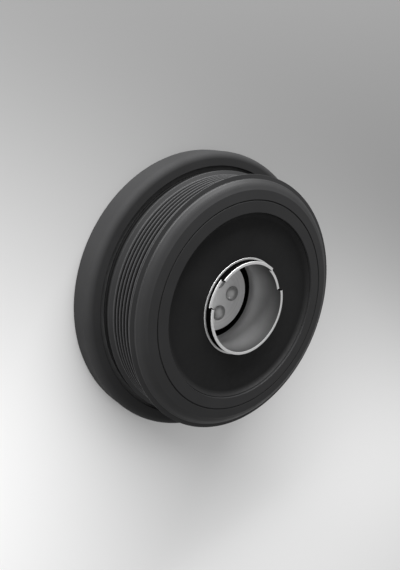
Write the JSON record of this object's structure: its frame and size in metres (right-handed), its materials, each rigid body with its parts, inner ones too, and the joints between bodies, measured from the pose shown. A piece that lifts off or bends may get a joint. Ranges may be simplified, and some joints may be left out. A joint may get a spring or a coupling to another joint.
{
  "type": "harmonic balancer",
  "caption": "Crankshaft torsional vibration damper: ribbed belt pulley on plain bearings, rubber-carried inertia ring, dished rubber isolator and a notched tube in the hub.",
  "frame": {"origin": "centre of the back face of the inertia ring, on the shaft's axis", "axes": "+Z along the shaft's axis, from the engine side to the front; +X at the first of the hub's screws"},
  "size_m": [0.1994, 0.1994, 0.0552],
  "materials": {
    "black_iron": "black coated, satin",
    "black_steel": "black coated, satin",
    "bright_steel": "turned, satin",
    "screw_steel": "zinc plated, satin",
    "rubber": "moulded, dull",
    "bearing_plastic": "moulded"
  },
  "bodies": {
    "root": {"inertia_ring": "black_iron", "damper_rubber": "rubber", "hub": "black_steel", "hub_sleeve": "bright_steel", "clamp_plate": "bright_steel", "crank_bolt_1": "screw_steel", "crank_bolt_2": "screw_steel", "crank_bolt_3": "screw_steel", "crank_bolt_4": "screw_steel", "bearing_bush": "bearing_plastic", "rear_thrust_washer": "bearing_plastic", "front_thrust_washer": "bearing_plastic", "support_ring": "black_steel", "dust_seal": "rubber", "pulley": "black_steel", "isolator_outer_ring": "black_steel", "isolator_rubber": "rubber", "isolator_inner_ring": "bright_steel"}
  },
  "joints": []
}
